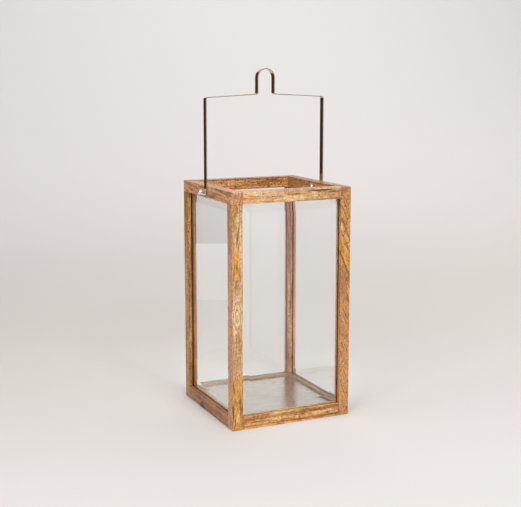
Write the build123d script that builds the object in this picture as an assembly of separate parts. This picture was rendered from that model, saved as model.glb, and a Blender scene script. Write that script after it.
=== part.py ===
from build123d import *
import os
from math import asin, cos, radians, sin

# A hanging lantern: four square posts carry a four-rail top frame, four bottom rails tie the posts
# together, bevelled panes stand in grooves, a steel plate is the floor, and a flat steel strap with
# a loop swings on two bolts through the top side rails.
# Millimetres, +Z up, origin in the middle of the footprint on the ground, -Y is the front.

# ---- driving dimensions ----
BODY_SIDE = 220.0            # the square plan, outside to outside
BODY_HEIGHT = 400.0          # ground to the top of the wooden frame
POST_SIDE = 19.0             # posts and rails are planed from three-quarter-inch stock
TOP_RAIL_HEIGHT = 20.0
BOTTOM_RAIL_HEIGHT = 22.0
ARRIS_RADIUS = 1.5           # the hand-sanded outer edges
JOINT_RADIUS = 0.4           # the fine easing where two pieces butt

GROOVE_SETBACK = 6.5         # wood left outside the pane's groove
GROOVE_WIDTH = 4.8
GROOVE_DEPTH = 5.0
GLASS_THICKNESS = 4.0
GLASS_EDGE_THICKNESS = 1.8
GLASS_BEVEL = 19.5           # width of the ground bevel, part of it hidden in the groove
GLASS_SIDE_PLAY = 0.5        # room left at each upright edge, inside the groove
GLASS_TOP_PLAY = 1.0
GLASS_BACK_PLAY = 0.2        # between the pane and the inner cheek of its groove

PLATE_THICKNESS = 1.2
PLATE_TOP = 18.7             # height of the floor plate's upper face above the ground
KERF_DEPTH = 4.0             # saw kerf in the bottom rails that holds the plate's rim
KERF_PLAY = 0.1
PLATE_RIM = 3.7              # how far the plate reaches into the kerf

DOWEL_RADIUS = 2.5
DOWEL_LENGTH = 24.0
POST_DOWEL_RADIUS = 3.0
POST_DOWEL_LENGTH = 29.0
POST_DOWEL_TOP = 391.0
DOWEL_HOLE_PLAY = 0.05
DOWEL_HOLE_END = 0.5         # glue space at the blind end of each hole
CROSS_DOWEL_HEIGHT = 6.5     # dowels that run along X, in the front and back bottom rails
SIDE_DOWEL_HEIGHT = 13.0     # dowels that run along Y pass above them inside the post
TOP_DOWEL_HEIGHT = 394.0

PIVOT_HEIGHT = 390.0         # middle of the top side rails
STRAP_WIDTH = 11.0
STRAP_THICKNESS = 1.5
STRAP_GAP = 0.3              # between the strap and what is on each side of it
EYE_RADIUS = 7.0             # rounded end of each leg, around the bolt
CORNER_HEIGHT = 549.0        # centre line of the strap where leg and crossbar meet
LOOP_FOOT_HEIGHT = 554.0     # centre line where the crossbar turns up into the loop
HANDLE_TOP = 598.0
LOOP_RADIUS = 15.5           # centre line of the loop's half-round top
CORNER_RADIUS = 4.0
LOOP_FOOT_RADIUS = 3.5

BOLT_RADIUS = 3.0            # M6
BOLT_LENGTH = 30.0
BOLT_POINT = 0.6             # the bevel round the bolt's end
BOLT_HOLE_PLAY = 0.05
PIVOT_PLAY = 0.08            # radial play of the strap's eye on the bolt
BOLT_HEAD_RADIUS = 5.5
BOLT_HEAD_HEIGHT = 4.4
BOLT_HEAD_RIM = 1.2
RECESS_SPAN = 5.4            # the cross recess in the bolt's head
RECESS_WIDTH = 1.2
RECESS_DEPTH = 2.2
WASHER_RADIUS = 6.0
WASHER_THICKNESS = 1.6
WASHER_BEVEL = 0.25
NUT_ACROSS_FLATS = 10.0
NUT_HEX_HEIGHT = 5.0
NUT_HEIGHT = 12.0
NUT_DOME_RADIUS = 4.75
NUT_THREAD_DEPTH = 8.0
NUT_BEVEL = (0.5, 0.9)       # the two legs of the bevel turned on the hexagon's corners

# ---- places that follow from them ----
HALF = BODY_SIDE / 2
INNER = HALF - POST_SIDE                     # inner faces of posts and rails
POST_HEIGHT = BODY_HEIGHT - TOP_RAIL_HEIGHT
GROOVE_OUT = HALF - GROOVE_SETBACK           # outer and inner cheek of every pane groove
GROOVE_IN = GROOVE_OUT - GROOVE_WIDTH
GROOVE_END = INNER + GROOVE_DEPTH
SILL = BOTTOM_RAIL_HEIGHT - GROOVE_DEPTH     # the groove floor, on which the panes stand
HEAD = POST_HEIGHT + GROOVE_DEPTH            # the top of the grooves under the top rails
MIDDLE = HALF - POST_SIDE / 2                # centre lines of posts and rails
STRAP_INNER = HALF + STRAP_GAP
LEG_LINE = STRAP_INNER + STRAP_THICKNESS / 2
WASHER_INNER = STRAP_INNER + STRAP_THICKNESS + STRAP_GAP
NUT_INNER = WASHER_INNER + WASHER_THICKNESS
LOOP_CENTRE = HANDLE_TOP - STRAP_THICKNESS / 2 - LOOP_RADIUS


def box_between(low, high):
    """A box from its lowest corner to its highest."""
    size = [b - a for a, b in zip(low, high)]
    return Pos(*low) * Box(*size, align=(Align.MIN, Align.MIN, Align.MIN))


def rod(start, direction, radius, length):
    """A round bar from a centre point, running in a direction."""
    at = Plane(origin=start, z_dir=direction)
    return at * Cylinder(radius, length, align=(Align.CENTER, Align.CENTER, Align.MIN))


def eased(solid, axis, radius, keep):
    """Rounds the edges that run along an axis and that keep() accepts."""
    edges = [edge for edge in solid.edges().filter_by(axis) if keep(edge)]
    return fillet(edges, radius)


def dowel_at(start, direction):
    """A dowel's middle is at the joint between its two pieces, so it starts half a length back."""
    half = Vector(direction) * (DOWEL_LENGTH / 2)
    return rod(Vector(start) - half, direction, DOWEL_RADIUS, DOWEL_LENGTH)


def dowel_hole_at(start, direction):
    long = DOWEL_LENGTH + 2 * DOWEL_HOLE_END
    half = Vector(direction) * (long / 2)
    return rod(Vector(start) - half, direction, DOWEL_RADIUS + DOWEL_HOLE_PLAY, long)


def post_dowel(play=0.0, end=0.0):
    """The upright dowel of the front left corner, from inside the post up into the side rail."""
    bottom = POST_DOWEL_TOP - POST_DOWEL_LENGTH - end
    length = POST_DOWEL_LENGTH + 2 * end
    return rod((-MIDDLE, -MIDDLE, bottom), (0, 0, 1), POST_DOWEL_RADIUS + play, length)


CROSS_JOINT = (-INNER, -MIDDLE, CROSS_DOWEL_HEIGHT)
SIDE_JOINT = (-MIDDLE, -INNER, SIDE_DOWEL_HEIGHT)
TOP_JOINT = (-INNER, -MIDDLE, TOP_DOWEL_HEIGHT)


def left_right(piece):
    """A piece on the left and its mirror image on the right."""
    return piece, mirror(piece, about=Plane.YZ).solid()


def front_back(piece):
    """A piece at the front and its mirror image at the back."""
    return piece, mirror(piece, about=Plane.XZ).solid()


def all_corners(piece):
    """A piece of the front left corner and its three mirror images."""
    return [each for pair in map(left_right, front_back(piece)) for each in pair]


def front_left_post():
    """A post with a stopped groove for each of its two panes, open at the top end."""
    post = box_between((-HALF, -HALF, 0), (-INNER, -INNER, POST_HEIGHT))
    corner = Vector(-HALF, -HALF, 0)
    outer = [e for e in post.edges() if (e @ 0 - corner).length < 1 or (e @ 1 - corner).length < 1]
    post = fillet(outer, ARRIS_RADIUS)
    post = eased(post, Axis.Z, JOINT_RADIUS, lambda e: min(e.center().X, e.center().Y) > -MIDDLE)
    post -= box_between((-GROOVE_END, -GROOVE_OUT, SILL), (-INNER, -GROOVE_IN, POST_HEIGHT))
    post -= box_between((-GROOVE_OUT, -GROOVE_END, SILL), (-GROOVE_IN, -INNER, POST_HEIGHT))
    post -= dowel_hole_at(CROSS_JOINT, (1, 0, 0))
    post -= dowel_hole_at(SIDE_JOINT, (0, 1, 0))
    post -= post_dowel(DOWEL_HOLE_PLAY, DOWEL_HOLE_END)
    return post


def bottom_rail(length_axis, dowel_start, dowel_direction):
    """The front or left bottom rail: pane groove on top, kerf inside for the plate, two dowel holes."""
    along_x = length_axis == Axis.X
    low, high = (-INNER, -HALF, 0), (INNER, -INNER, BOTTOM_RAIL_HEIGHT)
    groove = ((-INNER, -GROOVE_OUT, SILL), (INNER, -GROOVE_IN, BOTTOM_RAIL_HEIGHT))
    kerf_top = PLATE_TOP + KERF_PLAY
    kerf_low = PLATE_TOP - PLATE_THICKNESS - KERF_PLAY
    kerf = ((-INNER, -INNER - KERF_DEPTH, kerf_low), (INNER, -INNER, kerf_top))
    turned = (lambda p: p) if along_x else (lambda p: (p[1], p[0], p[2]))

    def outside(edge):
        centre = edge.center()
        return (centre.Y if along_x else centre.X) < -MIDDLE

    rail = box_between(turned(low), turned(high))
    rail = eased(rail, length_axis, ARRIS_RADIUS, outside)
    rail = eased(rail, length_axis, JOINT_RADIUS, lambda e: not outside(e))
    rail -= box_between(turned(groove[0]), turned(groove[1]))
    rail -= box_between(turned(kerf[0]), turned(kerf[1]))
    hole = dowel_hole_at(dowel_start, dowel_direction)
    across = Plane.YZ if along_x else Plane.XZ
    return rail - hole - mirror(hole, about=across)


def top_rail_left():
    """The left top rail runs the full depth, so its end grain shows at the front and the back."""
    def outside(edge):
        return edge.center().X < -MIDDLE

    def top_outside(edge):
        return outside(edge) and edge.center().Z > PIVOT_HEIGHT

    rail = box_between((-HALF, -HALF, POST_HEIGHT), (-INNER, HALF, BODY_HEIGHT))
    rail = eased(rail, Axis.Z, ARRIS_RADIUS, outside)
    rail = eased(rail, Axis.Y, ARRIS_RADIUS, top_outside)
    rail = eased(rail, Axis.Y, JOINT_RADIUS, lambda e: not outside(e))
    rail -= box_between((-GROOVE_OUT, -GROOVE_END, POST_HEIGHT), (-GROOVE_IN, GROOVE_END, HEAD))
    pocket = box_between((-GROOVE_END, -GROOVE_OUT, POST_HEIGHT), (-INNER, -GROOVE_IN, HEAD))
    holes = dowel_hole_at(TOP_JOINT, (1, 0, 0)) + post_dowel(DOWEL_HOLE_PLAY, DOWEL_HOLE_END)
    for cut in (*front_back(pocket), *front_back(holes)):
        rail -= cut
    return rail - rod((-HALF, 0, PIVOT_HEIGHT), (1, 0, 0), BOLT_RADIUS + BOLT_HOLE_PLAY, POST_SIDE)


def top_rail_front():
    """The front top rail is butted and dowelled between the two side rails."""
    def top_outside(edge):
        return edge.center().Y < -MIDDLE and edge.center().Z > PIVOT_HEIGHT

    rail = box_between((-INNER, -HALF, POST_HEIGHT), (INNER, -INNER, BODY_HEIGHT))
    rail = eased(rail, Axis.X, ARRIS_RADIUS, top_outside)
    rail = eased(rail, Axis.X, JOINT_RADIUS, lambda e: not top_outside(e))
    rail -= box_between((-INNER, -GROOVE_OUT, POST_HEIGHT), (INNER, -GROOVE_IN, HEAD))
    for hole in left_right(dowel_hole_at(TOP_JOINT, (1, 0, 0))):
        rail -= hole
    return rail


def glass_front():
    """A pane ground to a wide bevel all round its outer face; the inner face is flat."""
    width = 2 * (GROOVE_END - GLASS_SIDE_PLAY)
    height = HEAD - GLASS_TOP_PLAY - SILL
    inner_face = Plane(
        origin=(0, -GROOVE_IN - GLASS_BACK_PLAY, SILL + height / 2), x_dir=(1, 0, 0), z_dir=(0, -1, 0)
    )
    whole = Rectangle(width, height)
    field = Rectangle(width - 2 * GLASS_BEVEL, height - 2 * GLASS_BEVEL)
    slab = extrude(inner_face * whole, GLASS_EDGE_THICKNESS)
    bevel_foot = inner_face.offset(GLASS_EDGE_THICKNESS) * whole
    bevel_top = inner_face.offset(GLASS_THICKNESS) * field
    return slab + loft([bevel_foot, bevel_top])


def base_plate():
    """A square of sheet steel, its corners notched to clear the posts."""
    reach = INNER + PLATE_RIM
    low = PLATE_TOP - PLATE_THICKNESS
    plate = box_between((-reach, -reach, low), (reach, reach, PLATE_TOP))
    notch_at = INNER - (KERF_DEPTH - PLATE_RIM)
    notch = box_between((-reach, -reach, low), (-notch_at, -notch_at, PLATE_TOP))
    for corner in all_corners(notch):
        plate -= corner
    return plate


def handle_strap():
    """One bent strip: leg, corner, crossbar that rises a little, loop, and the same mirrored."""
    leg_foot = (LEG_LINE, 0, PIVOT_HEIGHT)
    corner = (LEG_LINE, 0, CORNER_HEIGHT)
    loop_foot = (LOOP_RADIUS, 0, LOOP_FOOT_HEIGHT)
    loop_side = (LOOP_RADIUS, 0, LOOP_CENTRE)
    side = FilletPolyline(leg_foot, corner, loop_foot, loop_side, radius=(CORNER_RADIUS, LOOP_FOOT_RADIUS))
    crown = ThreePointArc(loop_side, (0, 0, LOOP_CENTRE + LOOP_RADIUS), (-LOOP_RADIUS, 0, LOOP_CENTRE))
    path = Wire([*side.edges(), crown.edge(), *mirror(side, about=Plane.YZ).edges()])
    across_leg = Plane(origin=leg_foot, x_dir=(1, 0, 0), z_dir=(0, 0, 1))
    strap = sweep(across_leg * Rectangle(STRAP_THICKNESS, STRAP_WIDTH), path)
    for eye in left_right(rod((STRAP_INNER, 0, PIVOT_HEIGHT), (1, 0, 0), EYE_RADIUS, STRAP_THICKNESS)):
        strap += eye
    bore_start = (-WASHER_INNER, 0, PIVOT_HEIGHT)
    return strap - rod(bore_start, (1, 0, 0), BOLT_RADIUS + PIVOT_PLAY, 2 * WASHER_INNER)


def pivot_bolt_left():
    """A round-head bolt put in from inside the frame; its end screws into the cap nut."""
    tip, seat = -INNER - BOLT_LENGTH, -INNER
    rim, crown = seat + BOLT_HEAD_RIM, seat + BOLT_HEAD_HEIGHT
    # the head's dome is an arc that meets the axis squarely and passes through the rim
    dome_height = BOLT_HEAD_HEIGHT - BOLT_HEAD_RIM
    ball = (BOLT_HEAD_RADIUS ** 2 + dome_height ** 2) / (2 * dome_height)
    half_turn = asin(BOLT_HEAD_RADIUS / ball) / 2
    shoulder = (crown - ball + ball * cos(half_turn), ball * sin(half_turn))
    outline = Polyline(
        (crown, 0), (tip, 0), (tip, BOLT_RADIUS - BOLT_POINT), (tip + BOLT_POINT, BOLT_RADIUS),
        (seat, BOLT_RADIUS), (seat, BOLT_HEAD_RADIUS), (rim, BOLT_HEAD_RADIUS),
    )
    dome = ThreePointArc((rim, BOLT_HEAD_RADIUS), shoulder, (crown, 0))
    bolt = Pos(0, 0, PIVOT_HEIGHT) * revolve(make_face([*outline.edges(), dome.edge()]), Axis.X)
    for turn in (0, 90):
        slot = Box(2 * RECESS_DEPTH, RECESS_SPAN, RECESS_WIDTH)
        bolt -= Pos(crown, 0, PIVOT_HEIGHT) * Rot(turn, 0, 0) * slot
    return bolt


def washer_left():
    start = (-WASHER_INNER, 0, PIVOT_HEIGHT)
    disc = rod(start, (-1, 0, 0), WASHER_RADIUS, WASHER_THICKNESS)
    disc = chamfer(disc.edges().filter_by(GeomType.CIRCLE), WASHER_BEVEL)
    return disc - rod(start, (-1, 0, 0), BOLT_RADIUS + BOLT_HOLE_PLAY, WASHER_THICKNESS)


def cap_nut_left():
    """A hexagon with a domed cap, and a blind threaded hole drawn at its nominal size."""
    seat, outwards = (-NUT_INNER, 0, PIVOT_HEIGHT), (-1, 0, 0)
    at = Plane(origin=seat, x_dir=(0, 0, 1), z_dir=outwards)
    hexagon = extrude(at * RegularPolygon(NUT_ACROSS_FLATS / 2, 6, major_radius=False), NUT_HEX_HEIGHT)
    # the bevel on the hexagon's corners is what is left inside a cylinder with bevelled rims
    corner_radius = NUT_ACROSS_FLATS / 2 / cos(radians(30))
    turned = rod(seat, outwards, corner_radius, NUT_HEX_HEIGHT)
    turned = chamfer(turned.edges().filter_by(GeomType.CIRCLE), *NUT_BEVEL)
    straight = NUT_HEIGHT - NUT_DOME_RADIUS
    dome = rod(seat, outwards, NUT_DOME_RADIUS, straight)
    dome += at * Pos(0, 0, straight) * Sphere(NUT_DOME_RADIUS)
    bore = rod(seat, outwards, BOLT_RADIUS + BOLT_HOLE_PLAY, NUT_THREAD_DEPTH)
    return (hexagon & turned) + dome - bore


def group(pieces):
    """Identical small pieces that share one node."""
    return Compound([solid for piece in pieces for solid in piece.solids()])


parts = {}
for side, post in zip(("left", "right"), left_right(front_left_post())):
    for end, each in zip(("front", "back"), front_back(post)):
        parts[f"post_{end}_{side}"] = each

front_rail = bottom_rail(Axis.X, CROSS_JOINT, (1, 0, 0))
left_rail = bottom_rail(Axis.Y, SIDE_JOINT, (0, 1, 0))
parts["bottom_rail_front"], parts["bottom_rail_back"] = front_back(front_rail)
parts["bottom_rail_left"], parts["bottom_rail_right"] = left_right(left_rail)
parts["top_rail_left"], parts["top_rail_right"] = left_right(top_rail_left())
parts["top_rail_front"], parts["top_rail_back"] = front_back(top_rail_front())

for turn, name in enumerate(("front", "right", "back", "left")):
    parts[f"glass_{name}"] = Rot(0, 0, 90 * turn) * glass_front()

parts["base_plate"] = base_plate()
parts["handle_strap"] = handle_strap()
for maker in (pivot_bolt_left, washer_left, cap_nut_left):
    kind = maker.__name__.removesuffix("_left")
    parts[f"{kind}_left"], parts[f"{kind}_right"] = left_right(maker())

bottom_dowels = dowel_at(CROSS_JOINT, (1, 0, 0)), dowel_at(SIDE_JOINT, (0, 1, 0))
parts["bottom_rail_dowels"] = group(dowel for start in bottom_dowels for dowel in all_corners(start))
parts["top_rail_dowels"] = group(all_corners(dowel_at(TOP_JOINT, (1, 0, 0))))
parts["post_dowels"] = group(all_corners(post_dowel()))

os.makedirs("parts", exist_ok=True)
for name, shape in parts.items():
    export_step(shape, f"parts/{name}.step")
    print(name, round(shape.volume), "cubic mm")
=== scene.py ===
# %% [markdown]
# # A hanging lantern, looked at one piece at a time
# A square frame of mango wood holds four bevelled panes and a steel floor, and a bright steel strap
# swings over the top. The shapes are exact already, because the parts come in as a fixed frame, so
# this notebook is about surfaces: what each material is, how it was made, and how nodes can say so.
#
# The frame is loaded first, and its box is noted.

# %% Load the frame
import math

import bpy
import numpy as np
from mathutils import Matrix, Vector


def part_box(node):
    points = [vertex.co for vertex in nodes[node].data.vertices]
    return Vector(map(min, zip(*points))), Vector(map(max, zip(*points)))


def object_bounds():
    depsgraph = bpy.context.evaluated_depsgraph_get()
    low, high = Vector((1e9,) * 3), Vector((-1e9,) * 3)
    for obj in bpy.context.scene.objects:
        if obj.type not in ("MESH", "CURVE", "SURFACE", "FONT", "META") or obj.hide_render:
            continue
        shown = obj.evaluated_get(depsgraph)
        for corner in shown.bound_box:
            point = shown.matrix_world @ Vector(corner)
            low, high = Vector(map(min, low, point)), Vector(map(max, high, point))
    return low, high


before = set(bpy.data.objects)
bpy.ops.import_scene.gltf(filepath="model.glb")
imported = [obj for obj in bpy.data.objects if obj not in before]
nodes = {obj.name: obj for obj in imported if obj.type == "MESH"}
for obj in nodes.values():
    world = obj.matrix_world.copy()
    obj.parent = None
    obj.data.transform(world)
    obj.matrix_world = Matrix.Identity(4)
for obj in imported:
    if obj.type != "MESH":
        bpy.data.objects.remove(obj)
frame_box = [np.array(corner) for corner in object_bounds()]
scene = bpy.context.scene
print(len(nodes), "nodes, box", np.round(frame_box, 4).tolist())

# %% [markdown]
# ## Colours, nodes and boxes
# People pick colours as they look on a screen, but a renderer adds up light, so it needs them
# linear. One function does that turn. Another adds a shader node, sets it up and links it, which
# keeps each material below short enough to read like a recipe. Where a finish depends on a place, the
# place is read from the piece's own box.

# %% Colours
MM = 0.001


def linear(hex_colour):
    """An sRGB colour such as '#C08040' as linear red, green, blue and alpha.

    Each channel c below 0.04045 is divided by 12.92; above it, it is ((c + 0.055) / 1.055) ^ 2.4.
    """
    channels = np.array([int(hex_colour[i:i + 2], 16) for i in (1, 3, 5)]) / 255
    curve = np.where(channels <= 0.04045, channels / 12.92, ((channels + 0.055) / 1.055) ** 2.4)
    return (*curve.tolist(), 1.0)


print("a mid brown in linear light:", np.round(linear("#B8824E"), 3))

# %% Nodes and boxes
def add_node(tree, kind, inputs=None, **settings):
    """Adds one node. inputs sets a socket to a value, or links it when the value is a socket."""
    node = tree.nodes.new(kind)
    for name, value in settings.items():
        setattr(node, name, value)
    for socket, value in (inputs or {}).items():
        if isinstance(value, bpy.types.NodeSocket):
            tree.links.new(value, node.inputs[socket])
        else:
            node.inputs[socket].default_value = value
    return node


def new_material(name):
    """An empty material, its node tree, and the output node that a shader is linked to."""
    material = bpy.data.materials.new(name)
    material.use_nodes = True
    tree = material.node_tree
    tree.nodes.clear()
    return material, tree, tree.nodes.new("ShaderNodeOutputMaterial")


def surface_shader(tree, output, inputs):
    """Adds the shader that nearly every surface here uses, and links it to the output."""
    shader = add_node(tree, "ShaderNodeBsdfPrincipled", inputs)
    tree.links.new(shader.outputs[0], output.inputs[0])


def box_of(node_name):
    """The low and high corners of a piece's box, in metres."""
    return [np.array(corner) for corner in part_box(node_name)]


def dress(node_name, material):
    """Puts one material on a frame node, in the slots that it already has."""
    mesh = nodes[node_name].data
    if not mesh.materials:
        mesh.materials.append(material)
    for slot in nodes[node_name].material_slots:
        slot.material = material


print("a post runs from", *np.round(box_of("post_front_left"), 3).tolist())

# %% [markdown]
# ## Noise, mixing and ramps
# Almost every natural surface is noise that has been stretched. Wood fibres are noise pulled out
# along the grain, brushed steel is noise pulled out along the strokes. So one helper gives noise
# whose grains have a stated size in millimetres in each direction. Others turn a number into a
# strength or a colour, reckon with two numbers, or lay one colour over another.

# %% Noise of a real size
def object_place(tree):
    """The place of each point of a surface, in the metres of the frame."""
    return add_node(tree, "ShaderNodeTexCoord").outputs["Object"]


def grain_noise(tree, place, size_mm, seed, detail=2.0, distortion=0.0):
    """Noise whose grains measure size_mm = (x, y, z): the place is divided by the size."""
    stretch = [1 / (each * MM) for each in size_mm]
    scaled = add_node(tree, "ShaderNodeMapping", {"Vector": place, "Scale": stretch})
    inputs = {
        "Vector": scaled.outputs[0], "W": seed, "Scale": 1.0, "Detail": detail, "Distortion": distortion
    }
    return add_node(tree, "ShaderNodeTexNoise", inputs, noise_dimensions="4D").outputs["Fac"]


def remap(tree, value, low, high, to_low, to_high):
    """Carries low..high to to_low..to_high in a straight line, and stops at both ends."""
    inputs = {"Value": value, 1: low, 2: high, 3: to_low, 4: to_high}
    return add_node(tree, "ShaderNodeMapRange", inputs).outputs[0]


def blend(tree, mode, share, under, over):
    """Lays the colour over on the colour under: share 0 is all under, 1 is all over."""
    inputs = {0: share, 6: under, 7: over}
    return add_node(tree, "ShaderNodeMix", inputs, data_type="RGBA", blend_type=mode).outputs[2]


def ramp(tree, value, stops):
    """A colour ramp from a list of (position, sRGB colour)."""
    node = add_node(tree, "ShaderNodeValToRGB", {"Fac": value})
    elements = node.color_ramp.elements
    while len(elements) < len(stops):
        elements.new(0.5)
    for element, (position, colour) in zip(elements, stops):
        element.position = position
        element.color = linear(colour)
    return node.outputs[0]


def calc(tree, operation, *values):
    """One step of arithmetic on numbers or sockets."""
    return add_node(tree, "ShaderNodeMath", dict(enumerate(values)), operation=operation).outputs[0]


print("fibres 1.8 mm wide and 22 mm long are scaled by", [round(1 / (each * MM)) for each in (1.8, 22)])

# %% [markdown]
# ## Mango wood, planed, sanded and lacquered
# Mango is a coarse wood with short dark pores, growth rings that come out as arches on a flat face,
# a ripple of light across the grain, and spalting: dark and golden streaks that a fungus leaves.
# A flat picture wrapped round the piece would show the same face on all sides. A solid texture is
# better: it fills space with a tree trunk, and each piece is cut out of its own place in it, so
# faces, edges and end grain agree by themselves.
#
# Each piece has its heart, the middle of its trunk, some way off to a side. Near the heart the rings
# curve tightly, and far from it they run almost straight. A small lean between trunk and piece is
# what makes the arches and the diagonal bands.

# %% Where the grain runs
AXES = {"x": (0, math.pi / 2, 0), "y": (-math.pi / 2, 0, 0), "z": (0, 0, 0)}
AXIS_INDEX = {"x": 0, "y": 1, "z": 2}
WAVE_RING = math.pi / 10      # the Wave texture repeats every 2 pi / 20 units at scale 1
DRAWN_OUT = 0.12              # rings change about eight times more slowly along the trunk


def grain_place(tree, node_name, along, lean=(0, 0, 0)):
    """Places measured from a piece's middle, in metres, turned so that local Z runs with the grain."""
    low, high = box_of(node_name)
    turn = [a + math.radians(b) for a, b in zip(AXES[along], lean)]
    inputs = {"Vector": object_place(tree), "Location": ((low + high) / 2).tolist(), "Rotation": turn}
    return add_node(tree, "ShaderNodeMapping", inputs, vector_type="TEXTURE").outputs[0]


def growth_rings(tree, place, heart, ring_mm, waviness):
    """Rings round a heart line: a saw wave of the distance to it, bent by noise drawn out 8 to 1."""
    centre = [heart[0] * MM, heart[1] * MM, 0]
    inputs = {"Vector": place, "Location": centre, "Scale": (1, 1, DRAWN_OUT)}
    moved = add_node(tree, "ShaderNodeMapping", inputs)
    inputs = {
        "Vector": moved.outputs[0], "Scale": WAVE_RING / (ring_mm * MM), "Distortion": waviness,
        "Detail": 2.0, "Detail Scale": 0.35, "Detail Roughness": 0.55,
    }
    wave = add_node(
        tree, "ShaderNodeTexWave", inputs, wave_type="RINGS", rings_direction="Z", wave_profile="SAW"
    )
    return wave.outputs["Fac"]


print("a ring 6 mm wide needs a wave scale of", round(WAVE_RING / (6 * MM), 1))

# %% [markdown]
# ### Clean wood
# Four layers make the clean wood: a broad change of tone, the thin dark line at the end of each
# year's ring, the fibres, and the ripple that catches the light. The last three only darken what is
# under them, as they do in the tree. Spalted streaks are laid on top as a colour of their own,
# because the fungus stains all of the layers alike.

# %% Tones, rings, fibres and streaks
STREAK_EDGE = 0.09            # rise of the noise over which a streak reaches full strength


def planed_wood(tree, place, seed, tones, heart, ring_mm, ring_share, waviness):
    """The clean wood of a piece, its fibres, and the shading that the fibres give."""
    # broad change of tone, about a finger wide and a hand long
    tone = grain_noise(tree, place, (16, 16, 95), seed, detail=3.0, distortion=0.6)
    colour = ramp(tree, tone, list(zip((0.34, 0.50, 0.68), tones)))
    # growth rings end in a thin line of dense, darker late wood
    rings = growth_rings(tree, place, heart, ring_mm, waviness)
    late_wood = ramp(tree, rings, [
        (0.0, "#FFFFFF"), (0.50, "#F8F0E4"), (0.82, "#C09A70"), (1.0, "#F4E8D8")
    ])
    colour = blend(tree, "MULTIPLY", ring_share, colour, late_wood)
    # fibres about a millimetre wide; the real ones are finer, and would not show
    fibres = grain_noise(tree, place, (1.8, 1.8, 22), seed + 1, detail=3.0)
    fibre_shade = ramp(tree, fibres, [
        (0.34, "#AE8A62"), (0.47, "#F4EADA"), (0.56, "#FFFFFF"), (0.70, "#DCC4A2")
    ])
    colour = blend(tree, "MULTIPLY", 0.9, colour, fibre_shade)
    # the ripple of light across the grain
    ripple = grain_noise(tree, place, (14, 14, 4.5), seed + 2, detail=1.0, distortion=0.8)
    ripple_shade = ramp(tree, ripple, [(0.36, "#DCCDBB"), (0.56, "#FFFFFF")])
    return blend(tree, "MULTIPLY", 0.75, colour, ripple_shade), fibres, fibre_shade


def with_streaks(tree, place, seed, colour, streak, streak_share, streak_from):
    """Long spalted streaks, wherever their noise is above streak_from."""
    streaks = grain_noise(tree, place, (4.5, 4.5, 120), seed + 3, detail=3.0, distortion=0.5)
    share = remap(tree, streaks, streak_from, streak_from + STREAK_EDGE, 0.0, streak_share)
    return blend(tree, "MIX", share, colour, linear(streak))


print("a streak goes from nothing to full strength in", STREAK_EDGE, "of its noise")

# %% [markdown]
# ### Marks
# A knot, a stain or a golden patch is an egg-shaped spot of colour. The spot's edge is pushed about
# by noise, and the fibres near it are added to its strength before it is cut off, so that colour
# creeps along the grain in strings, as a stain does in real wood.

# %% What a mark is
def mark(at, size_mm, shades, turn=(0, 0, 0), ragged_mm=5.0, stringy=0.5, edge=0.45, share=0.8,
         by_strands=False):
    """One mark: its middle, half sizes along x, y and z, shades from rim to core, and tilt in degrees.

    share is its strength, reached once the spot is stronger than edge. by_strands takes the shades
    from strands of grain instead of from rim to core.
    """
    return dict(at=at, size_mm=size_mm, shades=shades, turn=turn, ragged_mm=ragged_mm, stringy=stringy,
                edge=edge, share=share, by_strands=by_strands)


def spot(rim, core):
    """Shades for a plain mark, which has its full core colour near the middle."""
    return [(0.0, rim), (0.8, core)]


print("a plain mark:", spot(rim="#D8A24C", core="#B4761E"))

# %% How marks are laid on
NOISE_MIDDLE = 0.5            # noise swings about one half
WANDER_MM = 9                 # size of the bumps in a mark's edge
STRING_REACH = 8.0            # a mark is at most this many times as strong as its spot there


def mark_mask(tree, seed, at, size_mm, turn, ragged_mm):
    """An egg-shaped patch: 1 in the middle and 0 at its edge, which noise makes ragged."""
    place = object_place(tree)
    scaled = add_node(tree, "ShaderNodeMapping", {"Vector": place, "Scale": [1 / (WANDER_MM * MM)] * 3})
    inputs = {"Vector": scaled.outputs[0], "W": seed, "Scale": 1.0, "Detail": 3.0}
    wander = add_node(tree, "ShaderNodeTexNoise", inputs, noise_dimensions="4D").outputs["Color"]
    inputs = {0: wander, 1: [NOISE_MIDDLE] * 3}
    centred = add_node(tree, "ShaderNodeVectorMath", inputs, operation="SUBTRACT").outputs[0]
    inputs = {0: centred, "Scale": 2 * ragged_mm * MM}
    push = add_node(tree, "ShaderNodeVectorMath", inputs, operation="SCALE").outputs[0]
    moved = add_node(tree, "ShaderNodeVectorMath", {0: place, 1: push}, operation="ADD").outputs[0]
    inputs = {
        "Vector": moved, "Location": at, "Scale": [each * MM for each in size_mm],
        "Rotation": [math.radians(each) for each in turn],
    }
    local = add_node(tree, "ShaderNodeMapping", inputs, vector_type="TEXTURE").outputs[0]
    ball = add_node(tree, "ShaderNodeTexGradient", {"Vector": local}, gradient_type="SPHERICAL")
    return ball.outputs["Fac"]


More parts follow.
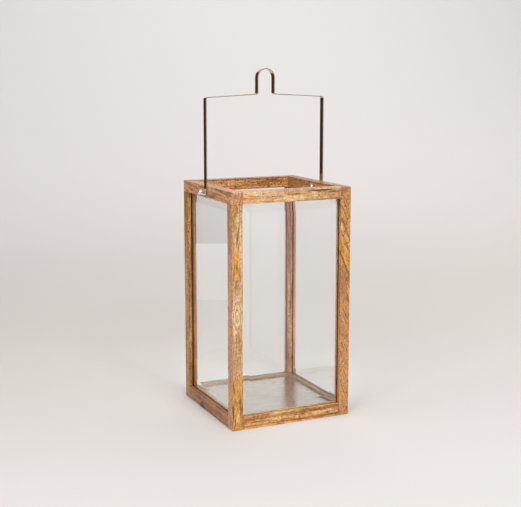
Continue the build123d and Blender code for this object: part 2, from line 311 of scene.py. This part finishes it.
def with_marks(tree, place, seed, colour, fibre_shade, marks):
    """Lays each mark over the colour, with an edge that runs into the grain."""
    bundles = grain_noise(tree, place, (3.2, 3.2, 26), seed + 6, detail=3.0, distortion=0.3)
    for number, each in enumerate(marks):
        spot_mask = mark_mask(
            tree, seed + 10 + number, each["at"], each["size_mm"], each["turn"], each["ragged_mm"]
        )
        stringy = each["stringy"]
        strings = calc(tree, "MULTIPLY_ADD", bundles, stringy, -NOISE_MIDDLE * stringy)
        reach = calc(tree, "MULTIPLY", spot_mask, STRING_REACH)
        shape = calc(tree, "MINIMUM", calc(tree, "ADD", spot_mask, strings), reach)
        share = remap(tree, shape, 0.0, each["edge"], 0.0, each["share"])
        source = spot_mask
        if each["by_strands"]:
            source = grain_noise(tree, place, (1.9, 1.9, 16), seed + 7, detail=2.0)
        fill = blend(tree, "MULTIPLY", 0.8, ramp(tree, source, each["shades"]), fibre_shade)
        colour = blend(tree, "MIX", share, colour, fill)
    return colour


print("a mark's edge wanders in bumps of", WANDER_MM, "mm")

# %% [markdown]
# ### Pores, ends and grooves
# Three details belong to how the piece was cut. Pores are short tubes that stay open under the
# lacquer. End grain soaks up more lacquer and turns darker, and glue and dust leave a line where it
# butts against a neighbour. The walls of the pane grooves carry painted shade: they are coloured dark, where
# shade falls deep in the narrow slots.
# All four sides of the lantern are alike, so the front pane's box gives the place of every groove.

# %% Grooves
# room between a pane and its groove
PLAY_BEHIND, PLAY_BEFORE, PLAY_AT_SIDE, PLAY_AT_TOP = 0.2 * MM, 0.6 * MM, 0.5 * MM, 1.0 * MM
JUST_PAST = 0.2 * MM          # takes in the groove's walls themselves
JUST_PAST_ENDS = 0.5 * MM     # the same at the sill and at the head
pane_low, pane_high = (corner.tolist() for corner in box_of("glass_front"))
GROOVE_OUTSIDE, GROOVE_INSIDE = PLAY_BEFORE - pane_low[1], -PLAY_BEHIND - pane_high[1]
GROOVE_MIDDLE = (GROOVE_OUTSIDE + GROOVE_INSIDE) / 2
GROOVE_HALF = (GROOVE_OUTSIDE - GROOVE_INSIDE) / 2 + JUST_PAST
GROOVE_END = pane_high[0] + PLAY_AT_SIDE + JUST_PAST
GROOVE_BOTTOM, GROOVE_TOP = pane_low[2] - JUST_PAST_ENDS, pane_high[2] + PLAY_AT_TOP + JUST_PAST_ENDS


def groove_mask(tree):
    """1 on the walls of the pane grooves and 0 elsewhere.

    A groove is where the distance from the middle plane is that of the pane along one axis, and
    less than the groove's end along the other, between the sill and the head.
    """
    size = add_node(tree, "ShaderNodeVectorMath", {0: object_place(tree)}, operation="ABSOLUTE")
    x, y, z = add_node(tree, "ShaderNodeSeparateXYZ", {0: size.outputs[0]}).outputs
    walls = []
    for across, along in ((x, y), (y, x)):
        near_pane = calc(tree, "COMPARE", across, GROOVE_MIDDLE, GROOVE_HALF)
        walls.append(calc(tree, "MULTIPLY", near_pane, calc(tree, "LESS_THAN", along, GROOVE_END)))
    below_head = calc(tree, "LESS_THAN", z, GROOVE_TOP)
    in_height = calc(tree, "MULTIPLY", below_head, calc(tree, "GREATER_THAN", z, GROOVE_BOTTOM))
    return calc(tree, "MULTIPLY", calc(tree, "MAXIMUM", *walls), in_height)


print("grooves", round(GROOVE_INSIDE / MM, 1), "to", round(GROOVE_OUTSIDE / MM, 1), "mm from the middle")

# %% Pores and ends
END_GRAIN_FROM, END_GRAIN_FULL, END_GRAIN_SHARE = 0.3 * MM, 0.05 * MM, 0.35
JOINT_FROM, JOINT_FULL = 1.5 * MM, 0.4 * MM


def with_ends(tree, node_name, along, colour, joint_line):
    """Darkens the end grain, and by joint_line the last millimetre or so before it."""
    low, high = box_of(node_name)
    reach = (high - low)[AXIS_INDEX[along]] / 2
    from_middle = grain_place(tree, node_name, along)
    signed_length = add_node(tree, "ShaderNodeSeparateXYZ", {0: from_middle}).outputs[2]
    length = calc(tree, "ABSOLUTE", signed_length)
    at_end = remap(tree, length, reach - END_GRAIN_FROM, reach - END_GRAIN_FULL, 0.0, END_GRAIN_SHARE)
    colour = blend(tree, "MULTIPLY", at_end, colour, linear("#B08A66"))
    at_joint = remap(tree, length, reach - JOINT_FROM, reach - JOINT_FULL, 0.0, joint_line)
    return blend(tree, "MULTIPLY", at_joint, colour, linear("#6A4426"))


def pores_mask(tree, place, seed):
    """1 in the pores, short dashes drawn some four times their real width, and 0 elsewhere."""
    pores = grain_noise(tree, place, (1.4, 1.4, 2.8), seed + 4, detail=1.0)
    return remap(tree, pores, 0.52, 0.64, 0.0, 1.0)


print("a joint's dark line is", round((JOINT_FROM - JOINT_FULL) / MM, 1), "mm wide")

# %% [markdown]
# ### Lacquer, and the whole recipe
# The finish is a brushed satin lacquer. It has an even gloss that is a little duller over the pores,
# and a thin clear coat of its own. Fibres stand up in it slightly and pores dent it, by hundredths of
# a millimetre: enough to break up a reflection.

# %% The wood recipe
# the second colour is painted shade for the walls of the pane grooves
PORE_BROWN, GROOVE_SHADE_BROWN = "#8C5E36", "#5A3A22"
RELIEF = 0.08 * MM


def lacquer(tree, output, place, seed, colour, fibres, pores):
    """The finished surface over a colour."""
    gloss = grain_noise(tree, place, (9, 9, 40), seed + 5, detail=2.0)
    roughness = remap(tree, gloss, 0.3, 0.7, 0.34, 0.46)
    roughness = calc(tree, "ADD", roughness, calc(tree, "MULTIPLY", pores, 0.2))
    relief = calc(tree, "SUBTRACT", calc(tree, "MULTIPLY", fibres, 0.35), pores)
    bump = add_node(tree, "ShaderNodeBump", {"Height": relief, "Strength": 0.5, "Distance": RELIEF})
    surface_shader(tree, output, {
        "Base Color": colour, "Roughness": roughness, "Normal": bump.outputs[0],
        "IOR": 1.5, "Coat Weight": 0.2, "Coat Roughness": 0.25, "Coat IOR": 1.5,
    })


def mango_wood(node_name, along, seed, heart, tones, ring_mm=6.0, ring_share=0.6, lean=(0, 0, 0),
               waviness=3.0, streak="#6A4A28", streak_share=0.5, streak_from=0.60, speckle=0.8,
               joint_line=0.5, groove_painted_shade=0.9, marks=()):
    """The wood of one piece. tones are its light, middle and dark colours."""
    material, tree, output = new_material(f"lacquered mango wood, {node_name.replace('_', ' ')}")
    place = grain_place(tree, node_name, along, lean)
    colour, fibres, fibre_shade = planed_wood(
        tree, place, seed, tones, heart, ring_mm, ring_share, waviness
    )
    colour = with_streaks(tree, place, seed, colour, streak, streak_share, streak_from)
    colour = with_marks(tree, place, seed, colour, fibre_shade, marks)
    pores = pores_mask(tree, place, seed)
    colour = blend(tree, "MULTIPLY", calc(tree, "MULTIPLY", pores, speckle), colour, linear(PORE_BROWN))
    colour = with_ends(tree, node_name, along, colour, joint_line)
    # painted shade: the walls of the pane grooves are darkened, weaker on the bottom rails, standing in for
    # the shade deep in the slots
    groove_shade = calc(tree, "MULTIPLY", groove_mask(tree), groove_painted_shade)
    colour = blend(tree, "MULTIPLY", groove_shade, colour, linear(GROOVE_SHADE_BROWN))
    lacquer(tree, output, place, seed, colour, fibres, pores)
    dress(node_name, material)


print("the wood recipe is ready")

# %% [markdown]
# ### The posts
# The front left post is light and rippled, with a golden fork three quarters of the way up, a round
# figure below it and a golden foot. The front right one is more orange, with a yellow band that
# sweeps across it. The back two are seen through glass and are plainer. Marks are placed from the
# posts' own boxes, so they stay on the wood if the frame ever changes.

# %% Places on a piece
def on_face(node_name, across, up, face="front"):
    """A point on a piece's front or left face.

    across runs 0..1 from left to right on the front face, and from front to back on the left one;
    up runs 0..1 from the piece's foot to its top.
    """
    low, high = box_of(node_name)
    shares = [across, 0.0, up] if face == "front" else [0.0, across, up]
    return (low + (high - low) * np.array(shares)).tolist()


print("the golden fork is at", np.round(on_face("post_front_left", 0.46, 0.77), 3).tolist())

# %% The front left post
ROUND_FIGURE = [
    (0.0, "#D8B488"), (0.22, "#EAD0A8"), (0.34, "#BC9268"), (0.46, "#F0DAB4"), (0.60, "#ECD4AC"),
    (0.70, "#BA9064"), (0.80, "#F0DAB4"), (1.0, "#E0BE92"),
]
GOLDEN_STRANDS = [
    (0.32, "#7E4A1A"), (0.42, "#CC8E30"), (0.52, "#E4B04C"), (0.60, "#C08230"), (0.66, "#F6DCA6")
]
fl = "post_front_left"
# painted shade: the whole left face of the post is coloured darker and pinker than its front
painted_shade_left_face = mark(
    on_face(fl, 0.0, 0.50), (3.0, 19, 420), spot("#D29C76", "#CC966E"), ragged_mm=0.6, edge=0.3,
    share=0.85, stringy=0.3,
)
upper_stains = [
    mark(on_face(fl, 0.55, 0.865), (2.0, 8, 30), spot("#B4863E", "#80591E"), turn=(0, 8, 0),
         ragged_mm=0.9, share=0.9),
    mark(on_face(fl, 0.30, 0.955), (6, 8, 32), spot("#C89C4C", "#B08838"), share=0.9, stringy=1.0),
    mark(on_face(fl, 0.62, 0.815), (2.4, 6, 15), spot("#C8922E", "#A87418"), turn=(0, 7, 0),
         ragged_mm=1.0),
]
golden_fork = [
    mark(on_face(fl, 0.46, 0.770), (6.0, 8, 17), spot("#E8B84C", "#DEA028"), ragged_mm=2.0, edge=0.25,
         share=1.0, stringy=0.9),
    mark(on_face(fl, 0.40, 0.722), (6.5, 8, 14), spot("#E2B250", "#CE9424"), ragged_mm=2.5, edge=0.25,
         share=1.0, stringy=1.1),
    mark(on_face(fl, 0.14, 0.680), (2.0, 6, 16), spot("#DCA03C", "#C07A12"), turn=(0, 14, 0),
         ragged_mm=1.5, share=0.95),
    mark(on_face(fl, 0.72, 0.690), (1.9, 6, 13), spot("#DCA03C", "#C8820E"), turn=(0, -10, 0),
         ragged_mm=1.5, share=0.95),
]
figure = mark(
    on_face(fl, 0.48, 0.515), (10, 12, 34), ROUND_FIGURE, ragged_mm=0.8, edge=0.2, share=1.0, stringy=0.0
)
golden_foot = [
    mark(on_face(fl, 0.55, 0.02), (15, 16, 100), GOLDEN_STRANDS, by_strands=True, share=0.95, edge=0.25,
         stringy=1.2),
    mark(on_face(fl, 0.10, 0.20), (2.0, 5, 20), spot("#D8A24C", "#B4761E"), share=0.9),
    mark(on_face(fl, 0.42, 0.235), (1.6, 5, 16), spot("#D8A24C", "#B87E28"), share=0.9),
    mark(on_face(fl, 0.10, 0.085), (2.2, 5, 18), spot("#96602A", "#5E3818"), ragged_mm=2.0, share=0.9),
    mark(on_face(fl, 0.78, 0.10), (1.6, 5, 26), spot("#9A6426", "#7A4A1A"), ragged_mm=1.5),
]
mango_wood(
    fl, "z", 11.3, (38, 22), ("#F4D8B0", "#E4C096", "#C49A6C"), ring_mm=8.0, ring_share=0.35,
    lean=(1.5, 2.0, 0), streak="#A8845A", speckle=0.65,
    marks=[painted_shade_left_face, *upper_stains, *golden_fork, figure, *golden_foot],
)
print("marks on the front left post:", 2 + len(upper_stains) + len(golden_fork) + len(golden_foot))

# %% The other posts
fr = "post_front_right"
brown_below = mark(
    on_face(fr, -0.25, 0.30), (30, 40, 172), spot("#CE965F", "#D69E64"), turn=(0, -4, 0), edge=0.06,
    ragged_mm=3.0, stringy=0.05,
)
brown_shade = mark(
    on_face(fr, 0.30, 0.64), (14, 22, 52), spot("#B8805A", "#A8704A"), edge=0.5, share=0.6
)
dark_line_below = mark(
    on_face(fr, 0.38, 0.715), (3.4, 16, 46), spot("#9A6030", "#744620"), turn=(0, -23, 0),
    ragged_mm=1.0, share=0.85, stringy=0.1,
)
yellow_band = mark(
    on_face(fr, 0.55, 0.738), (6.5, 18, 60), spot("#E8B050", "#E0A230"), turn=(0, -22, 0), edge=0.2,
    ragged_mm=0.8, share=1.0, stringy=0.1,
)
small_stain = mark(on_face(fr, 0.50, 0.875), (5, 8, 15), spot("#B88044", "#8A5E32"), share=0.6)
mango_wood(
    fr, "z", 23.7, (-30, 34), ("#F6CA86", "#E6B26C", "#BC8648"), ring_mm=4.6, ring_share=0.7,
    lean=(2.0, -21, 0), streak="#8A5A30", streak_share=0.45, speckle=0.85, joint_line=0.3,
    marks=[brown_below, brown_shade, dark_line_below, yellow_band, small_stain],
)
mango_wood(
    "post_back_left", "z", 37.1, (-26, -30), ("#EEBE80", "#D8A058", "#A87438"), ring_mm=5.0,
    ring_share=0.9, streak_share=0.7,
)
mango_wood(
    "post_back_right", "z", 41.9, (34, -24), ("#FCCA9A", "#ECB084", "#B87E56"), ring_mm=5.0,
    streak_share=0.7, streak="#7A4A30",
)
print("posts dressed")

# %% [markdown]
# ### The rails
# A rail's grain runs along it, so the same recipe is turned: local Z then points along X or Y. The
# side rails are as long as the lantern is deep, so their ends show end grain at the front corners.

# %% Top rails
def dark_line(at, size_mm, share=0.95):
    """A short dark spalted line."""
    return mark(at, size_mm, spot("#8A5E34", "#5A3818"), ragged_mm=2.0, share=share)


top = "top_rail_front"
warm_end = mark(
    on_face(top, 0.00, 0.5), (26, 20, 24), spot("#EEB888", "#E8AC78"), edge=0.7, share=0.7
)
pale_middle = mark(
    on_face(top, 0.36, 0.40), (56, 12, 11), spot("#ECC698", "#EECA9E"), share=0.4, stringy=0.9
)
dark_lines = [
    dark_line(on_face(top, 0.79, 0.83), (34, 12, 2.2)),
    dark_line(on_face(top, 0.93, 0.68), (16, 12, 1.6)),
    dark_line(on_face(top, 0.53, 0.63), (24, 12, 1.4), share=0.7),
]
mango_wood(
    top, "x", 53.2, (30, -26), ("#FDDEB4", "#ECC898", "#CAA072"), ring_mm=7.0, ring_share=0.5,
    waviness=5.0, streak="#8E6234", streak_from=0.61, speckle=0.55, joint_line=0.3,
    marks=[warm_end, pale_middle, *dark_lines],
)
mango_wood(
    "top_rail_back", "x", 59.6, (22, 24), ("#FCD498", "#ECB270", "#AC783E"), ring_mm=5.0,
    ring_share=0.7, streak="#6A4420", streak_share=0.8, streak_from=0.57, speckle=1.0,
)
mango_wood(
    "top_rail_left", "y", 61.4, (26, 20), ("#FFD8AA", "#F2BE8E", "#CE9868"), lean=(6, 0, 0),
    joint_line=0.0, ring_share=0.45,
)
mango_wood(
    "top_rail_right", "y", 67.8, (-24, 22), ("#F2C08A", "#E2A86E", "#BE8652"), joint_line=0.0,
    ring_share=0.45,
)
print("top rails dressed")

# %% Bottom rails
def greyed_rail_edge(at, size_mm, share=0.75):
    """A greyer band along the top inner edge of a rail, just above the floor plate."""
    return mark(
        at, size_mm, spot("#AC9A80", "#948670"), edge=0.3, share=share, ragged_mm=2.0, stringy=0.2
    )


knot = mark(
    on_face("bottom_rail_left", 0.65, 0.15, face="left"), (8, 12, 9), spot("#3E322C", "#1E1C20"),
    ragged_mm=1.5, share=1.0, edge=0.15, stringy=0.2,
)
grey_back_edge = greyed_rail_edge(on_face("bottom_rail_back", 0.5, 0.95), (130, 10, 9))
grey_right_edge = greyed_rail_edge(on_face("bottom_rail_right", 0.5, 0.95, face="left"), (10, 130, 9), share=0.5)
mango_wood(
    "bottom_rail_front", "x", 71.5, (24, -38), ("#FFE0A4", "#F4C884", "#CC985C"), ring_mm=5.2,
    ring_share=1.0, waviness=4.5, streak="#7A5026", streak_share=0.85, streak_from=0.56,
    joint_line=0.4, groove_painted_shade=0.3,
)
mango_wood(
    "bottom_rail_back", "x", 73.1, (24, 30), ("#D8A878", "#BC8C60", "#94704C"), ring_mm=5.0,
    groove_painted_shade=0.3, marks=[grey_back_edge],
)
mango_wood(
    "bottom_rail_left", "y", 79.3, (-30, 20), ("#DCA66C", "#C48C58", "#926642"), ring_mm=5.0,
    streak="#5E4636", streak_share=0.6, joint_line=0.4, groove_painted_shade=0.3, marks=[knot],
)
mango_wood(
    "bottom_rail_right", "y", 83.9, (28, 26), ("#D8A878", "#BC8C60", "#94704C"), ring_mm=5.0,
    groove_painted_shade=0.3, marks=[grey_right_edge],
)
print("bottom rails dressed")

# %% [markdown]
# ## Clear float glass with a ground bevel
# The panes are flat glass whose edges were ground and polished to a wide, shallow slope. Glass has
# almost no colour; what the eye reads is how it bends and mirrors what is around it. The bevel is in
# the shape, so real refraction moves the edge of whatever is seen through it, which no painted line
# could do. Lamps are let straight through, because a renderer finds no light by bent paths and would
# leave the inside dark. A film of dust and wiping makes the gloss slightly uneven.

# %% Glass
WIPED_ROUGHNESS = 0.035       # the dullest of the wiping marks


def bevelled_glass():
    """Refracting glass for sight, and a clear sheet for shadow rays."""
    material, tree, output = new_material("polished float glass with ground bevels")
    wiping = grain_noise(tree, object_place(tree), (60, 60, 25), 3.1, detail=4.0, distortion=1.0)
    roughness = remap(tree, wiping, 0.45, 0.8, 0.0, WIPED_ROUGHNESS)
    sight = add_node(
        tree, "ShaderNodeBsdfPrincipled",
        {"Base Color": linear("#FDFEFE"), "Roughness": roughness, "IOR": 1.5, "Transmission Weight": 1.0},
    )
    clear = add_node(tree, "ShaderNodeBsdfTransparent", {"Color": linear("#F6F9F8")})
    is_shadow = add_node(tree, "ShaderNodeLightPath").outputs["Is Shadow Ray"]
    inputs = {0: is_shadow, 1: sight.outputs[0], 2: clear.outputs[0]}
    either = add_node(tree, "ShaderNodeMixShader", inputs)
    tree.links.new(either.outputs[0], output.inputs[0])
    return material


glass = bevelled_glass()
for side in ("front", "back", "left", "right"):
    dress(f"glass_{side}", glass)
print("four panes dressed")

# %% [markdown]
# ## Metals
# Three metals, and three ways of finishing them. The floor is sheet steel brushed in one direction:
# its scratches are noise drawn out almost ninety to one. The strap is steel that was polished and nickel
# plated, with a faint tarnish. The bolts, washers and cap nuts are turned parts with bright plating.
# A metal has no colour under its shine, so what makes it look right is what it mirrors.

# %% The metal recipe
MOST_STAIN = 0.5              # even the most stained spot keeps half of the clean colour


def worked_metal(name, colours, roughness_range, stain_mm, scratch_mm, seed, dent_mm=0.01, line_share=0.8):
    """A metal with stains of one size and fine scratches of another. colours are clean and stained."""
    material, tree, output = new_material(name)
    place = object_place(tree)
    stains = grain_noise(tree, place, stain_mm, seed, detail=4.0, distortion=0.5)
    scratches = grain_noise(tree, place, scratch_mm, seed + 1, detail=3.0)
    share = remap(tree, stains, 0.42, 0.68, 0.0, MOST_STAIN)
    clean, stained = (linear(each) for each in colours)
    colour = blend(tree, "MIX", share, clean, stained)
    line_shade = ramp(tree, scratches, [(0.35, "#E4E0DA"), (0.60, "#FFFFFF")])
    colour = blend(tree, "MULTIPLY", line_share, colour, line_shade)
    gloss = calc(tree, "ADD", stains, scratches)
    roughness = remap(tree, gloss, 0.75, 1.25, *roughness_range)
    bump = add_node(tree, "ShaderNodeBump", {"Height": scratches, "Strength": 0.4, "Distance": dent_mm * MM})
    surface_shader(tree, output, {
        "Base Color": colour, "Metallic": 1.0, "Roughness": roughness, "Normal": bump.outputs[0]
    })
    return material


print("the metal recipe is ready")

# %% Floor, strap and fittings
floor_steel = worked_metal(
    "brushed sheet steel", ("#DCD6CE", "#CAC4BA"), (0.25, 0.29), stain_mm=(55, 40, 40),
    scratch_mm=(70, 0.8, 4), seed=5.2, dent_mm=0.002, line_share=0.3,
)
strap_steel = worked_metal(
    "polished nickel-plated strip steel", ("#E2D8CA", "#B49A72"), (0.06, 0.16), stain_mm=(18, 18, 12),
    scratch_mm=(0.7, 3, 5), seed=8.4,
)
bright_plate = worked_metal(
    "bright-plated turned steel", ("#F4F4F4", "#D8D6D2"), (0.04, 0.12), stain_mm=(6, 6, 6),
    scratch_mm=(1.2, 0.6, 0.6), seed=9.7,
)
dress("base_plate", floor_steel)
dress("handle_strap", strap_steel)
for side in ("left", "right"):
    for kind in ("pivot_bolt", "washer", "cap_nut"):
        dress(f"{kind}_{side}", bright_plate)
print("metals dressed")

# %% [markdown]
# ## Dowels
# The dowels are glued inside the joints, where nobody sees them. They are turned from bare beech: a
# pale wood with short, fine flecks.

# %% Dowels
def turned_beech():
    """Pale bare wood: fine flecks over an almost even tone."""
    material, tree, output = new_material("turned bare beech")
    flecks = grain_noise(tree, object_place(tree), (1.0, 1.0, 1.0), 2.6, detail=3.0)
    colour = ramp(tree, flecks, [(0.35, "#E2C7A2"), (0.65, "#C9A479")])
    roughness = remap(tree, flecks, 0.3, 0.7, 0.6, 0.75)
    surface_shader(tree, output, {"Base Color": colour, "Roughness": roughness})
    return material


beech = turned_beech()
for joint in ("bottom_rail", "top_rail", "post"):
    dress(f"{joint}_dowels", beech)
print("dowels dressed")

# %% [markdown]
# ## The stage
# The lantern stands on a sweep: a sheet of pale paper that runs along the floor and curves up behind,
# so that no line marks the join. It is one surface, worked out as a profile carried sideways.

# %% The shape of the sweep
SWEEP_HALF_WIDTH = 5.0
SWEEP_FRONT = -4.0
SWEEP_BEND_START = 1.6
SWEEP_BEND_RADIUS = 1.6
SWEEP_TOP = 4.5


def sweep_grid(across_steps=24, flat_steps=24, bend_steps=48, wall_steps=8):
    """The sweep as a grid: x runs across, and the profile is flat, then a quarter circle, then upright.

    On the bend, at angle t from 0 to 90 degrees, y = start + R sin t and z = R - R cos t.
    """
    t = np.linspace(0, math.pi / 2, bend_steps)
    bend_y = SWEEP_BEND_START + SWEEP_BEND_RADIUS * np.sin(t)
    bend_z = SWEEP_BEND_RADIUS * (1 - np.cos(t))
    flat_y = np.linspace(SWEEP_FRONT, SWEEP_BEND_START, flat_steps, endpoint=False)
    wall_z = np.linspace(SWEEP_BEND_RADIUS, SWEEP_TOP, wall_steps + 1)[1:]
    profile_y = np.concatenate([flat_y, bend_y, np.full(wall_z.size, bend_y[-1])])
    profile_z = np.concatenate([np.zeros(flat_y.size), bend_z, wall_z])
    x = np.linspace(-SWEEP_HALF_WIDTH, SWEEP_HALF_WIDTH, across_steps)
    grid_x, grid_y = np.meshgrid(x, profile_y)
    grid_z = np.repeat(profile_z[:, None], across_steps, axis=1)
    return grid_x, grid_y, grid_z


def surface(name, grid_x, grid_y, grid_z):
    """A mesh object from three grids of coordinates; each cell of the grid becomes one quad."""
    rows, columns = grid_x.shape
    points = np.stack([grid_x, grid_y, grid_z], axis=-1).reshape(-1, 3)
    first = (np.arange(rows - 1)[:, None] * columns + np.arange(columns - 1)).reshape(-1)
    quads = np.stack([first, first + 1, first + columns + 1, first + columns], axis=1)
    mesh = bpy.data.meshes.new(name)
    mesh.from_pydata(points.tolist(), [], quads.tolist())
    mesh.update()
    mesh.polygons.foreach_set("use_smooth", np.ones(len(quads), dtype=bool))
    made = bpy.data.objects.new(name, mesh)
    scene.collection.objects.link(made)
    return made


sweep = surface("sweep", *sweep_grid())
print("sweep:", len(sweep.data.polygons), "quads")

# %% Paper
def paper(name, stops):
    """Matt seamless paper. stops give its colour at distances in metres behind the lantern; on the sweep
    that colour is painted light and shade.
    """
    material, tree, output = new_material(name)
    depth = add_node(tree, "ShaderNodeSeparateXYZ", {0: object_place(tree)}).outputs["Y"]
    nearest, furthest = stops[0][0], stops[-1][0]
    along = remap(tree, depth, nearest, furthest, 0.0, 1.0)
    colour = ramp(tree, along, [
        ((distance - nearest) / (furthest - nearest), shade) for distance, shade in stops
    ])
    surface_shader(tree, output, {"Base Color": colour, "Roughness": 0.9, "Specular IOR Level": 0.1})
    return material


# painted light and shade: the sweep's colour stands in for how much light falls at each distance behind the
# lantern, palest at the front and darkest high on the wall
PAINTED_SHADE_STOPS = [
    (-0.4, "#E6E3E1"), (0.3, "#DFDAD6"), (0.8, "#D9D4D0"), (1.5, "#D9D5D2"), (2.4, "#DAD7D6"),
    (3.2, "#D4D2D1"),
]
sweep.data.materials.append(paper("pale seamless paper", PAINTED_SHADE_STOPS))
print("paper shades at", [distance for distance, shade in PAINTED_SHADE_STOPS], "metres")

# %% [markdown]
# ## What the polished strap and the panes see
# A mirror is as dark as its surroundings. The studio behind the left edge of the paper is dark, and
# the flat of each leg faces that way. A card stands there that only mirror rays can see: it darkens
# the legs and takes no light from anything else. The left pane mirrors its lower edge as a faint step
# in brightness, and below the step a white card keeps the pane pale.

# %% Mirror cards
def card(name, centre, right, up, colour):
    """A flat card: its corners are the centre plus and minus the vectors right and up."""
    centre, right, up = (np.array(each) for each in (centre, right, up))
    a, b = np.meshgrid([-1.0, 1.0], [-1.0, 1.0])
    points = centre + a[..., None] * right + b[..., None] * up
    made = surface(name, points[..., 0], points[..., 1], points[..., 2])
    made.data.materials.append(paper(f"{name} card", [(0.0, colour), (1.0, colour)]))
    for kind in ("camera", "diffuse", "transmission", "shadow", "volume_scatter"):
        setattr(made, f"visible_{kind}", False)
    return made


CARD_X, CARD_Y = -0.62, 0.75
HALF_ACROSS = (0.45, 0.25, 0)
STEP_HEIGHT, DARK_TOP = 0.15, 1.35
CARDS = (("dark studio", STEP_HEIGHT, DARK_TOP, "#4A3424"), ("white board", 0.0, STEP_HEIGHT, "#FFFFFF"))
for name, foot, head, colour in CARDS:
    card(name, (CARD_X, CARD_Y, (foot + head) / 2), HALF_ACROSS, (0, 0, (head - foot) / 2), colour)
print("cards placed:", len(CARDS))

# %% [markdown]
# ## Light and camera
# Two large soft lamps stand high, one almost straight in front and one to the front left. Each leaves a
# faint shadow on the far side of the lantern. A weak lamp overhead and pale surroundings fill the
# rest, and a fourth lamp brightens the right part of the sweep's wall. The camera stands a little to
# the left and just above the top frame, with a long lens, so the upright lines stay almost parallel.

# %% Light
LAMP_WHITE = "#FFFEFD"
SURROUNDINGS_STRENGTH = 0.52


def soft_lamp(name, place, target, size, watts, colour):
    """A square area lamp that faces a target."""
    data = bpy.data.lights.new(name, "AREA")
    data.shape = "SQUARE"
    data.size = size
    data.energy = watts
    data.color = linear(colour)[:3]
    lamp = bpy.data.objects.new(name, data)
    lamp.location = place
    direction = np.array(target) - np.array(place)
    lamp.rotation_euler = Vector(direction.tolist()).to_track_quat("-Z", "Y").to_euler()
    scene.collection.objects.link(lamp)


middle = ((frame_box[0] + frame_box[1]) / 2).tolist()
LAMPS = [
    ("key", (-0.1, -2.5, 2.3), middle, 1.2, 47),
    ("fill", (-2.0, -1.7, 2.0), middle, 1.2, 28),
    ("top", (0.0, 0.3, 2.6), (0, 0.3, 0), 2.0, 4),
    ("backdrop", (1.4, 1.2, 3.6), (2.9, 3.2, 2.1), 2.4, 78),
]
for name, place, target, size, watts in LAMPS:
    soft_lamp(name, place, target, size, watts, LAMP_WHITE)

world = bpy.data.worlds.new("pale studio")
world.use_nodes = True
surroundings = world.node_tree.nodes["Background"].inputs
surroundings["Color"].default_value = linear("#FBFAFA")
surroundings["Strength"].default_value = SURROUNDINGS_STRENGTH
scene.world = world
scene.view_settings.view_transform = "Standard"
print(len(LAMPS), "lamps,", sum(lamp[4] for lamp in LAMPS), "W together")

# %% Camera
LENS, SENSOR = 71.85, 36.0       # millimetres
SHIFT = -0.0399                  # of the sensor's width: moves the lantern up a little in the picture
FROM_LEFT = math.radians(24.69)
FROM_ABOVE = math.radians(8.75)
DISTANCE = 1.823
AIM = Vector((-0.0085, 0.0, 0.313))

back = Vector((
    -math.sin(FROM_LEFT) * math.cos(FROM_ABOVE), -math.cos(FROM_LEFT) * math.cos(FROM_ABOVE),
    math.sin(FROM_ABOVE),
))
camera_data = bpy.data.cameras.new("camera")
camera_data.lens = LENS
camera_data.sensor_width = SENSOR
camera_data.shift_y = SHIFT
camera = bpy.data.objects.new("camera", camera_data)
camera.location = AIM + back * DISTANCE
camera.rotation_euler = back.to_track_quat("Z", "Y").to_euler()
scene.collection.objects.link(camera)
scene.camera = camera
print("camera at", np.round(camera.location, 3))
